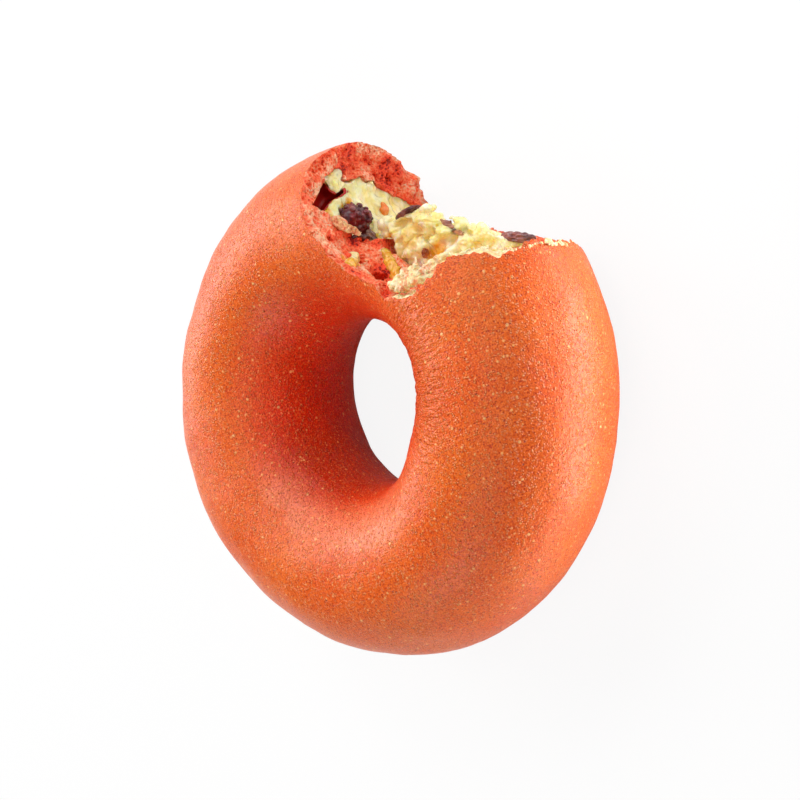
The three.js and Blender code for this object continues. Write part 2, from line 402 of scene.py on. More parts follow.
def tear_crumb(bread):
    """Opens pores in the crumb, and returns how far each point lies under the skin."""
    points = points_of(bread)
    depth = skin_depth(points)
    torn = depth > SKIN_THICKNESS
    torn_points = points[torn]
    wide, wide_numbers = bubbles(torn_points, 1.5, 0.6)
    fine, fine_numbers = bubbles(torn_points, 0.75, 0.4)
    pit = 0.6 * wide * smoothstep(wide_numbers, 0.3, 0.9) + 0.4 * fine * smoothstep(fine_numbers, 0.1, 0.7)
    fade = smoothstep(depth[torn], SKIN_THICKNESS, 0.9)
    relief = 0.8 * pit - 0.25 - layered_noise(torn_points, ((1.1, 0.25), (4, 0.4)), 3)
    points[torn] -= normals_of(bread)[torn] * (relief * fade)[:, None]
    set_points(bread, points)
    pits = np.zeros(len(points))
    pits[torn] = pit
    store(bread, pit=pits)
    return depth


def skin_relief(bread):
    points = points_of(bread)
    skin = skin_depth(points) <= SKIN_THICKNESS
    above_floor = smoothstep(points[skin, 2] + MID_HEIGHT, 0.2, 2.5)
    relief = layered_noise(points[skin], ((11, 0.35), (4.5, 0.12), (2, 0.04)), 5)
    creases = layered_noise(rolled_out(points[skin]), ((1.3, 0.16), (0.7, 0.1)), 6)
    relief += creases * near_lip(points[skin])
    points[skin] += normals_of(bread)[skin] * (relief * above_floor)[:, None]
    set_points(bread, points)


def rolled_out(points):
    """Places in which a crease across the lip of the hole comes out long and one along it short."""
    radius = radius_of(points)
    turn = points[:, :2] / radius[:, None] * LIP_RADIUS
    return np.column_stack([turn, (points[:, 2] + radius) * CREASE_STRETCH])


def near_lip(points):
    """1 where the skin is creased on the camera's side of the hole, 0 elsewhere."""
    away = np.abs((direction_of(points) - LIP_DIRECTION + 180) % 360 - 180)
    share = between(radius_of(points), LIP_RISE, LIP_FALL) * (1 - smoothstep(away, *LIP_SIDES))
    return share * smoothstep(points[:, 2], *LIP_HEIGHT)


def hollow_share(points):
    """1 on the wall of the hole, 0 from the crown of the ring outwards. The crust is deeper red there, partly
    as skin that browned less and partly as painted shade.
    """
    return 1 - smoothstep(radius_of(points), HOLE_DIAMETER / 2 + 0.5, RING_RADIUS - 5)


def taut_share(points):
    """1 where a paler sheen is painted on the skin, below the hole, up to a wavy edge on the crown."""
    around = direction_of(points)
    radius = radius_of(points)
    edge = PAINTED_SHEEN_RADIUS + PAINTED_SHEEN_GROWTH * np.maximum(around - FAR_WALL_DIRECTION, 0)
    edge += layered_noise(points, ((5, 1.2), (1.8, 0.7)), 9)
    share = smoothstep(edge - radius, 0, 0.8) * smoothstep(radius, *PAINTED_SHEEN_START)
    return share * between(around, PAINTED_SHEEN_RISE, PAINTED_SHEEN_FALL) * smoothstep(points[:, 2], *PAINTED_SHEEN_HEIGHT)


def shaded_share(points):
    """Painted shade on the crust: darkest deep in the hole's far wall, 0 away from it."""
    share = 1 - smoothstep(radius_of(points), HOLE_DIAMETER / 2 + 1, HOLE_DIAMETER / 2 + 8)
    away = np.abs(direction_of(points) - FAR_WALL_DIRECTION)
    return FAR_WALL_SHADE * share * (1 - smoothstep(away, *FAR_WALL_SIDES))


def cream_share(points):
    """1 on the pale crumb of the near side, which the baking left almost white."""
    centred = points[:, :2] - BITE_CENTRE
    angle = (direction_of(centred) - math.degrees(BITE_DIRECTION)) % 360 - 180
    drop = CREAM_DROP * smoothstep(angle, *CREAM_DROP_RISE)
    return between(angle, CREAM_RISE, CREAM_FALL) * smoothstep(points[:, 2] + drop, *CREAM_HEIGHT)


def near(points, spots):
    """1 at the middle of any of the spots and 0 outside all of them."""
    share = np.zeros(len(points))
    for x, y, z, radius in spots:
        distance = np.linalg.norm(points - np.array([x, y, z]), axis=1)
        share = np.maximum(share, 1 - smoothstep(distance, radius * 0.4, radius))
    return share


def make_bread(crumb):
    bread = dough_ring()
    cut(bread, bite_drum(dough_wall))
    tunnel = core_ring(-0.2)
    keep_off_crumb(tunnel)
    combine(tunnel, prism(OPENING, -7, 4), "UNION")
    cut(bread, tunnel)
    cut(bread, prism(AIR_POCKET, POCKET_BACK, 5, SIGHT_LEAN))
    for place, half_sizes in PITS:
        cut(bread, lump(place, half_sizes))
    depth = tear_crumb(bread)
    skin_relief(bread)
    points = points_of(bread)
    store(
        bread,
        hollow=hollow_share(points),
        shaded=shaded_share(points),
        taut=taut_share(points),
        creased=near_lip(points),
        cream=cream_share(points),
        ruddy=near(points, PAINTED_PIT_SHADE),
        gold=near(points, CRUMB_GOLD),
        wet=near(points, WET_CRUMB),
    )
    rolled = bread.data.attributes.new("rolled", "FLOAT_VECTOR", "POINT")
    rolled.data.foreach_set("vector", rolled_out(points).astype(np.float32).ravel())
    coated(bread, "bagel_bread", baked_skin())
    bread.data.materials.append(crumb)
    for face in bread.data.polygons:
        face.material_index = int(max(depth[corner] for corner in face.vertices) > SKIN_THICKNESS)
    return bread


# The filling: soft cheese pressed up in the bite, torn into lobes and strands.

# Outlines on the left face, as (y, z) across it. The far edge of the cheese is shared by the opening
# in the dough and by the crumb above it.
FAR_EDGE = (
    (42.9, -3.2), (42.2, -4.3), (41.3, -5.4), (40.6, -6.5), (40.2, -8.3),
    (40, -10.6), (39.3, -12.3), (38.7, -14), (38, -15.3),
)
OPENING = (
    (42.2, 11), (43.3, 10), (44.4, 8), (45, 6.3), (44.5, 5.1), (43.6, 5.1), (42.8, 5.8), (42.5, 4.4),
    (42.6, 3.3), (43.1, 2.1), (43.7, 0.4), (42.9, -0.5), (42.7, -1.4), *FAR_EDGE,
    (37.2, -15.3), (34, -10), (31, -5), (30.5, -1.5), (30.3, 1), (30.2, 4), (30.8, 6.5), (31.1, 7.8),
    (33.6, 9.3), (35, 10.4), (34.7, 12.3), (36.1, 13.3), (37.4, 15), (39.8, 12.6), (41.5, 11.2),
)
AIR_POCKET = (
    (42, 11.4), (40.2, 10), (39.6, 8.5), (40.8, 6.1), (39.9, 6), (39, 7.8), (38, 10), (36.8, 11.5),
    (35.9, 12.6), (37.4, 15.2), (39.8, 13),
)
UPPER_CRUMB = (
    (42.4, 11.2), (43.3, 10), (44.4, 8), (44.9, 6.3), (44.4, 5.3), (43.4, 5.4), (42.4, 6), (42, 5),
    (42.2, 3.3), (43, 2.1), (43.7, 0.5), (42.6, -0.4), (42.5, -1.4), *FAR_EDGE,
    (38, -22), (54, -22), (54, 15),
)
LOWER_CRUMB = ((24, -16), (24, 16), (34, 14), (34, 11), (31, 8.2), (30, 5), (30, -2), (30, -16))
FACE_X = -1
POCKET_BACK = -5
SIGHT_LEAN = (-0.19, 1.04)

FOLD_DIRECTION = 25
# The heap is worked on inside a post round the bite, and joined to the rest of the filling, which
# starts a little further in.
HEAP_RADIUS = 33
REST_RADIUS = 32.6

# Lobes and strands of the heap: place, half sizes, and turn in degrees.
LOBES = (
    (6.3, 33, 2.6, 2.3, 1.5, 1.7, 0), (6.3, 31, 2.6, 1.2, 0.9, 1, 0), (12.6, 33.7, 2.8, 4.2, 1, 1.5, 9),
    (16.3, 31.9, 3.4, 2.8, 1.6, 1.6, -10), (17.3, 34.6, 2.9, 1.7, 0.9, 1.4, 0),
    (12.5, 29.8, 2.6, 2.6, 2.6, 1.8, 0), (11.4, 27.3, 2, 2, 2.2, 1.8, 0),
    (9.1, 29.6, 1.4, 1, 3, 2.4, 0), (9.2, 26.2, 1, 0.9, 3.2, 2.2, -5), (9, 22.6, 0.6, 1.1, 2.6, 2.2, 0),
    (20.8, 29.6, 3.2, 2.4, 1.2, 1.3, -12), (25.3, 27.2, 2.6, 2.6, 1.2, 1.2, -8),
    (18.5, 28.3, 2.6, 1.6, 1.2, 1.2, 0), (21.6, 26.2, 2.4, 1.8, 1.5, 1.4, 0),
    (30.3, 27.6, 2.4, 2.4, 1.1, 1.2, -8), (33.5, 25.9, 1.6, 2.2, 1.2, 1.2, 0),
    (37, 25, 1.2, 2.4, 1, 1.1, -12), (40, 24.2, 0.8, 2, 0.9, 1, -12),
    (24.2, 31, 2.4, 2.6, 0.9, 1.2, -28), (14.5, 27.3, 2.4, 1.2, 1.6, 1.4, 0),
    (16.6, 30, 3, 1.6, 1, 1.2, 20), (21.4, 30.3, 3.6, 1.5, 0.5, 0.5, -33),
    (24.4, 29.6, 3.2, 1.4, 0.6, 0.5, -33),
)

# Small random lumps on the heap, and the ground they fall on.
CURDS = 14
CURD_FROM, CURD_TO = 8, 42
HEAP_EDGE, HEAP_SLOPE = 34.5, 0.22

# Where the cheese is fluffed up white, and where golden orange is painted on it as shade in its hollows and
# where it meets the berry: x, y, z and radius.
FLUFF = (
    (21.6, 26.2, 3.5, 3), (23.5, 26.8, 3.5, 2.4), (17.3, 34.6, 3.4, 2.2), (9, 22, 2.5, 3.4),
    (13.5, 24.5, 2.5, 2.4), (6.3, 33, 3, 2.4), (16.3, 31.5, 4.5, 1.2), (33.5, 25.9, 2, 3),
    (40, 24.2, 1.5, 3),
)
GOLDEN_SHADE = (
    (19.2, 26.4, 2.6, 2.4), (17, 25.8, 2, 2), (9, 26, -2, 3), (-0.5, 36.5, 11.5, 1.5),
    (28.3, 28.8, 1.6, 1.1), (-0.8, 38.4, 5, 1.1), (-1, 37.6, 7, 0.9), (0.6, 32.2, 2, 1.6),
    (7.5, 31, 2.5, 1.2),
)
# Cheese smeared over the crumb: where each run starts and ends, and its radius.
SMEARS = (
    ((5.9, 26.2, 11.3), (6.1, 25.2, 13.3), 1.2),
    ((7.8, 27, 5.5), (9.2, 26, 5.8), 0.9),
    ((9.2, 26, 5.8), (11.8, 22.3, 7.4), 1.3),
)
DAUBS_IN_A_RUN = 12


def swollen(outline, share):
    middle = np.mean(outline, axis=0)
    return [tuple(middle + (np.array(corner) - middle) * share) for corner in outline]


def prism(outline, start, end, lean=(0, 0)):
    """A block pushed through the left face from one x to another, with its outline as (y, z)."""
    bpy.ops.mesh.primitive_circle_add(vertices=len(outline), fill_type="NGON")
    block = new_piece("prism")
    along = start - FACE_X
    set_points(block, [(start, y + lean[0] * along, z + lean[1] * along) for y, z in outline])
    edit_all(block)
    push = tuple((end - start) * np.array([1, *lean]))
    bpy.ops.mesh.extrude_region_move(TRANSFORM_OT_translate={"value": push})
    close_shell()
    return block


def keep_off_crumb(piece):
    """Cuts away what would reach into the crumb below and above the opening on the left."""
    cut(piece, prism(LOWER_CRUMB, -4, 6))
    cut(piece, prism(UPPER_CRUMB, -3, 6))


def post(radius):
    """A round post through the bite's middle, taller than the ring."""
    place = (*BITE_CENTRE, 0)
    bpy.ops.mesh.primitive_cylinder_add(vertices=96, radius=radius, depth=60, location=place)
    block = new_piece("post")
    bpy.ops.object.transform_apply()
    return block


def lump(place, half_sizes, turn=0, steps=3):
    bpy.ops.mesh.primitive_ico_sphere_add(subdivisions=steps, radius=1, location=place)
    ball = new_piece("lump")
    ball.scale = half_sizes
    ball.rotation_euler = (0, 0, math.radians(turn))
    bpy.ops.object.transform_apply()
    return ball


def bvh_of(piece):
    faces = [face.vertices for face in piece.data.polygons]
    return BVHTree.FromPolygons([corner.co for corner in piece.data.vertices], faces)


def part_on_bench(node):
    """A copy of one of the part's own solids, brought to the bench."""
    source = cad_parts[node]
    piece = source.copy()
    piece.data = source.data.copy()
    bpy.context.scene.collection.objects.link(piece)
    piece.parent = None
    piece.matrix_world = Matrix()
    for key in list(piece.keys()):
        del piece[key]
    piece.data.transform(PLACE.inverted())
    piece.data.materials.clear()
    edit_all(piece)
    bpy.ops.mesh.remove_doubles(threshold=0.0005)
    bpy.ops.mesh.quads_convert_to_tris()
    end_edit()
    return piece


def fuse(pieces, cell, times):
    """Joins pieces under one skin, laid in cells of this size and softened this many times."""
    select_only(pieces[0])
    for piece in pieces:
        piece.select_set(True)
    bpy.ops.object.join()
    fused = pieces[0]
    fused.data.remesh_voxel_size = cell
    fused.data.remesh_voxel_adaptivity = 0
    bpy.ops.object.voxel_remesh()
    soften(fused, times)
    return fused


def folds(points):
    """Soft folds drawn out along the heap with sharp creases between, and waves on the left face."""
    along = math.radians(FOLD_DIRECTION)
    cos, sin = math.cos(along), math.sin(along)
    turned = points @ np.array([[cos, -sin, 0], [sin, cos, 0], [0, 0, 1]])
    shift = np.column_stack([layered_noise(points, ((2.6, 1.3),), seed) for seed in (25, 26, 27)])
    turned = turned * np.array([0.5, 1, 0.8]) + shift
    relief = layered_noise(turned, ((2.8, 0.8), (1.2, 0.25)), 22)
    for span, depth, seed in ((2.2, 0.45, 23), (1.0, 0.12, 24)):
        relief -= depth * (1 - smoothstep(np.abs(layered_noise(turned, ((span, 1),), seed)), 0, 0.22))
    heap = smoothstep(points[:, 0], 3, 8)
    waves = layered_noise(points, ((2, 0.5), (0.9, 0.2)), 28)
    return heap * relief + (1 - heap) * waves


def filling_wall(angle, points):
    return mouth_radius(angle) + 0.5 - layered_noise(points, ((3.4, 0.9), (1.5, 0.35)), 11)


def random_curds(filling):
    draws = np.random.default_rng(4)
    tree = bvh_of(filling)
    curds = []
    for number in range(CURDS):
        x = draws.uniform(CURD_FROM, CURD_TO)
        y = HEAP_EDGE - HEAP_SLOPE * (x - CURD_FROM) - draws.uniform(0, 12) * (1 - 0.02 * x)
        place = tree.ray_cast(Vector((x, y, 30)), Vector((0, 0, -1)))[0]
        if place is None or place.z < -3:
            continue
        size = draws.uniform(0.45, 1.3)
        shape = draws.uniform((1, 0.5, 0.5), (2.6, 0.9, 0.9))
        curds.append(lump((x, y, place.z), size * shape, draws.uniform(-50, 40), 2))
    return curds


def make_filling():
    rest = part_on_bench("filling")
    filling = part_on_bench("filling")
    combine(filling, post(HEAP_RADIUS), "INTERSECT")
    cut(rest, post(REST_RADIUS))
    face = prism(OPENING, -8, 4)
    cut(face, bite_drum(filling_wall))
    combine(filling, face, "UNION")
    cut(filling, prism(swollen(AIR_POCKET, 1.2), POCKET_BACK - 1, 6, SIGHT_LEAN))
    keep_off_crumb(filling)
    cut(filling, lump((3.4, 31, 3.4), (3.4, 1.7, 3.6)))
    lobes = [lump(lobe[:3], lobe[3:6], lobe[6]) for lobe in LOBES]
    fuse([filling, *lobes, *random_curds(filling)], CHEESE_CELL, 18)
    relief = folds(points_of(filling))
    push_out(filling, relief)
    # The low creases between the folds, which the cheese's material paints golden as shade.
    store(filling, crease=1 - smoothstep(relief, -0.45, 0.05))
    combine(filling, rest, "UNION")
    points = points_of(filling)
    store(filling, fluff=near(points, FLUFF), gold=near(points, GOLDEN_SHADE))
    return coated(filling, "cheese_filling", soft_cheese())


def make_smears(bread):
    """Cheese smeared over the crumb low on the left, and the strip beside the heap, painted golden as shade.
    """
    tree = bvh_of(bread)
    daubs = []
    for start, end, radius in SMEARS:
        for share in np.linspace(0, 1, DAUBS_IN_A_RUN):
            place = Vector(start).lerp(Vector(end), share)
            point, normal = tree.ray_cast(EYE, (place - EYE).normalized())[:2]
            daubs.append(lump(point - normal * radius * 0.6, (radius, radius, radius)))
    smears = fuse(daubs, SMEAR_CELL, 10)
    # Golden orange, a little on every smear and most on the strip beside the heap, where it is painted shade.
    gold = 0.35 + 0.6 * smoothstep(points_of(smears)[:, 0], 7, 8)
    roughen(smears, ((1.6, 0.4), (0.7, 0.2)), 35)
    store(smears, fluff=0, crease=0, gold=gold)
    return coated(smears, "cheese_smears", soft_cheese())


# Small torn pieces of dough and fruit

# The line of the broken rim, and the spikes that stand out of it with their half sizes.
RIM = (
    (19.3, 18.8, 16.8), (21.7, 19, 17.6), (24, 19.3, 18.2), (25.9, 19.6, 18.5), (27.7, 20, 18.6),
    (29.2, 20.5, 18.4), (30.3, 21.2, 18), (30.8, 22.4, 17.6), (31.7, 23.2, 17.2), (33.1, 23.7, 17),
    (35.1, 23.1, 17.2), (36.2, 23.5, 16.6), (37.3, 24, 16), (39.6, 23.8, 15), (41.6, 23.4, 13.5),
    (43.3, 23.2, 11.5), (44.3, 23.6, 8.5), (44.3, 24.4, 5.5), (44.9, 24, 2), (44.6, 24, -3),
)
TUFT_HEIGHT = 1.7
SPIKES = (
    ((25.8, 21.8, 17.4), (0.9, 1, 0.9)), ((26.2, 22.7, 17.9), (0.5, 0.9, 0.5)),
    ((26.6, 23.5, 18.3), (0.22, 0.8, 0.25)), ((20, 20.6, 15.6), (1.2, 1, 1.2)),
    ((20.6, 21.6, 15), (0.8, 1, 0.9)), ((22.6, 21.8, 15.5), (1.1, 0.9, 1)),
    ((24.2, 21.2, 16.8), (1.2, 0.7, 0.8)), ((28.5, 22.3, 16.5), (1, 0.8, 0.9)),
    ((30.2, 23, 16.6), (0.7, 0.9, 0.7)), ((44.5, 24.6, 3), (0.35, 0.7, 1.2)),
    ((44.6, 24.2, 0.5), (0.4, 0.6, 1.6)),
)
TUFTS = 110

# Corners of the pale flap of dough and of the film of fruit skin.
FLAP = (
    (2.2, 34.2, 13.2), (2.4, 34.9, 11.8), (3, 33.6, 10.6), (3.6, 32.7, 8.9), (4.2, 31.4, 7.2),
    (3.9, 30.9, 8), (3.2, 31.5, 9.6), (2.6, 32.2, 11.4), (2.2, 33.1, 12.8),
)
FILM = (
    (2.6, 31.5, 6.6), (2.4, 31.2, 5.3), (1.9, 32.9, 2.8), (2.6, 32, 2), (3.4, 30.8, 2.1),
    (3.6, 30.2, 3.4), (3.4, 30.3, 5.4),
)
SHEET_DIVISIONS = 4


def torn_sheet(corners, thickness, seed):
    """A thin torn piece laid through a few corner points, crumpled and given its thickness."""
    bpy.ops.mesh.primitive_circle_add(vertices=len(corners), fill_type="TRIFAN")
    sheet = new_piece("sheet")
    middle = np.mean(corners, axis=0)
    points = points_of(sheet)
    corner_points = iter(corners)
    for number, point in enumerate(points):
        points[number] = middle if np.hypot(point[0], point[1]) < 0.5 else next(corner_points)
    set_points(sheet, points)
    for number in range(SHEET_DIVISIONS):
        subdivide(sheet)
    soften(sheet, 2)
    roughen(sheet, ((1.6, 0.25), (0.6, 0.1)), seed)
    points = points_of(sheet)
    points += np.column_stack([layered_noise(points, ((0.7, 0.25),), seed + axis) for axis in (1, 2, 3)])
    set_points(sheet, points)
    apply_modifier(sheet, "SOLIDIFY", thickness=thickness, offset=0)
    return sheet


def crumb_marks(piece, cream):
    """Gives a loose piece of crumb the marks that the torn crumb's material reads."""
    pit = np.clip(layered_noise(points_of(piece), ((0.8, 0.8),), 51) + 0.1, 0, 1)
    store(piece, cream=cream, ruddy=0, gold=0, wet=0, pit=pit)


def make_fringe(crumb):
    """Pale torn crumb that stands up along the broken rim of the near side, in tufts and spikes."""
    tufts = []
    draws = np.random.default_rng(12)
    for number in range(TUFTS):
        share = number / TUFTS
        place = along_path(RIM, share)
        height = TUFT_HEIGHT * (1 - 0.8 * smoothstep(share, 0.3, 0.5))
        for repeat in range(2 if share < 0.4 else 1):
            offset = draws.uniform((-0.4, -0.1, -0.8), (0.4, 0.8, 0.1))
            size = height * draws.uniform(0.3, 0.5)
            shape = draws.uniform((0.8, 0.6, 0.8), (1.8, 1.1, 1.3))
            turn = draws.uniform(0, 180)
            tufts.append(lump(place + offset * height, size * shape, turn, 2))
        if number % 2 == 0:
            tooth = place + np.array([draws.uniform(-0.3, 0.3), 0.5 * height, -0.2])
            half_sizes = (0.16, draws.uniform(0.3, 0.55) * (0.6 + height * 0.4), 0.2)
            tufts.append(lump(tooth, half_sizes, draws.uniform(-35, 35), 2))
    for place, half_sizes in SPIKES:
        tufts.append(lump(place, half_sizes, 20))
    fringe = fuse(tufts, FRINGE_CELL, 14)
    roughen(fringe, ((1.5, 0.5), (0.7, 0.3)), 61)
    points = points_of(fringe)
    pink = smoothstep(layered_noise(points, ((1.6, 1),), 63), 0.05, 0.35)
    pink *= 1 - smoothstep(points[:, 0], 28, 34)
    crumb_marks(fringe, 1 - 0.6 * pink)
    return coated(fringe, "pale_crumb_fringe", crumb)


def along_path(path, share):
    step = share * (len(path) - 1)
    start = min(int(step), len(path) - 2)
    return np.array(path[start]) * (start + 1 - step) + np.array(path[start + 1]) * (step - start)


def make_torn_bits(crumb):
    """The loose bits round the berry: a pale flap, a film of fruit skin, jelly, and a near-black bit of fruit
    skin that stands in for the shade under the film.
    """
    flap = torn_sheet(FLAP, 0.5, 71)
    crumb_marks(flap, 0.75)
    film = torn_sheet(FILM, 0.15, 81)
    jelly = lump((-0.5, 37, -4.6), (0.9, 1.5, 1.2), steps=4)
    roughen(jelly, ((1, 0.4),), 91)
    # A near-black bit of fruit skin, put in the deep shade under the film and standing in for that shade.
    dark_shade_bit = lump((3, 30.8, 6.2), (0.8, 0.6, 2.8), steps=4)
    roughen(dark_shade_bit, ((1.2, 0.5),), 92)
    return (
        (coated(flap, "torn_flap", crumb), "bread"),
        (coated(film, "fruit_film", fruit_film()), "dried_berry"),
        (coated(jelly, "jelly_bit", fruit_jelly()), "dried_berry"),
        (coated(dark_shade_bit, "fruit_skin_shade_bit", dried_fruit("#240810", "#4e1016")), "dried_berry"),
    )


def make_pocket_lining():
    """The shiny skin that steam blew up inside the dough, seen through the hole on the left, deep red as
    painted shade in the pocket.
    """
    lining = prism(swollen(AIR_POCKET, 1.3), POCKET_BACK - 0.6, -1.4, SIGHT_LEAN)
    subdivide(lining, 3)
    edit_all(lining)
    bpy.ops.mesh.normals_make_consistent(inside=False)
    end_edit()
    cut(lining, prism(AIR_POCKET, POCKET_BACK, 0, SIGHT_LEAN))
    subdivide(lining)
    roughen(lining, ((2.5, 0.2), (0.9, 0.08)), 41)
    return coated(lining, "pocket_lining", pocket_skin_with_shade())


# The berries

BERRY_PLACE = np.array([0.3, 35, 4.9])
BERRY_CORE = np.array([2.5, 2.5, 3.6])
BERRY_TAPER = 0.25
BEADS = 78
GOLDEN_ANGLE = 2.39996
# The torn berries: node, place, half sizes and turn.
TORN_BERRIES = (
    ("berry_split", (12, 34.4, 2.6), (3.2, 0.9, 1.6), 16),
    ("berry_sunk", (22.6, 30.3, 2.5), (3.4, 0.9, 0.9), -33),
    ("berry_end", (37.6, 26.4, 2.6), (4, 1.1, 1), -12),
    ("berry_scrap", (16.2, 26.2, 3.4), (0.6, 1.2, 0.9), 0),
)
# The dark skin of each berry, and where the skin is thin.
BERRY_COLOURS = {
    "berry_whole": ("#4a1020", "#8e1c20"),
    "berry_split": ("#4c1c1c", "#7e3a2c"),
    "berry_sunk": ("#8c4a38", "#d49a70"),
    "berry_end": ("#5c3036", "#a8584c"),
    "berry_scrap": ("#8e3c1a", "#cc7430"),
}


def beaded_berry():
    """A whole berry: a core covered in small beads, fused, drawn in on its near side."""
    berry = lump(BERRY_PLACE, BERRY_CORE)
    draws = np.random.default_rng(8)
    beads = []
    for number in range(BEADS):
        height = 1 - 2 * (number + 0.5) / BEADS
        around = number * GOLDEN_ANGLE
        flat = math.sqrt(1 - height * height)
        direction = np.array([flat * math.cos(around), flat * math.sin(around), height])
        place = BERRY_PLACE + direction * BERRY_CORE * draws.uniform(0.86, 1.06) + draws.uniform(-0.3, 0.3, 3)
        place[2] -= BERRY_TAPER * max(0, BERRY_PLACE[1] - place[1])
        beads.append(lump(place, draws.uniform(0.34, 0.8, 3), 0, 2))
    beads.append(lump(BERRY_PLACE + np.array([0.2, -1.9, -0.9]), (1.6, 1.5, 1.9)))
    return fuse([berry, *beads], BERRY_CELL, 1)


def make_berries():
    berries = [(beaded_berry(), "berry_whole")]
    for node, place, half_sizes, turn in TORN_BERRIES:
        berry = lump(place, half_sizes, turn, 5)
        stretched = points_of(berry) * np.array([0.7, 1.6, 1.6])
        pleats = layered_noise(stretched, ((1.8, 0.9), (0.8, 0.35)), 31)
        push_out(berry, -np.abs(pleats))
        berries.append((berry, node))
    for berry, node in berries:
        name = node.replace("berry_", "") + "_berry"
        coated(berry, name, dried_fruit(*BERRY_COLOURS[node]))
    return berries


# Materials

def rgb(hex_colour):
    """An sRGB hex colour as linear red, green, blue and alpha."""
    channels = [int(hex_colour[i:i + 2], 16) / 255 for i in (1, 3, 5)]
    linear = [c / 12.92 if c <= 0.04045 else ((c + 0.055) / 1.055) ** 2.4 for c in channels]
    return (*linear, 1)


def per(millimetres):
    """The scale of a pattern on Object coordinates, in metres, that repeats at this size."""
    return 1000 / millimetres


def feed(tree, node, inputs):
    """Gives each input its number or colour, or links it to the socket that feeds it."""
    for name, value in inputs.items():
        if isinstance(value, bpy.types.NodeSocket):
            tree.links.new(value, node.inputs[name])
        else:
            node.inputs[name].default_value = value


def add(tree, kind, inputs=None, stops=(), **settings):
    """Adds a shader node with its settings and links, and returns its outputs."""
    node = tree.nodes.new("ShaderNode" + kind)
    for name, value in settings.items():
        setattr(node, name, value)
    for number, (place, colour) in enumerate(stops):
        elements = node.color_ramp.elements
        element = elements[number] if number < len(elements) else elements.new(place)
        element.position = place
        element.color = rgb(colour)
    feed(tree, node, inputs or {})
    return node.outputs


def new_material(name):
    material = bpy.data.materials.new(name)
    material.use_nodes = True
    tree = material.node_tree
    return material, tree, tree.nodes["Principled BSDF"]


def laid_over(tree, colour, layers):
    """A colour with others laid over it, each where its source runs from low to high, up to most."""
    for source, low, high, most, paint in layers:
        share = add(tree, "MapRange", {"Value": source, 1: low, 2: high, 4: most})[0]
        colour = add(tree, "Mix", {0: share, 6: colour, 7: rgb(paint)}, data_type="RGBA")[2]
    return colour


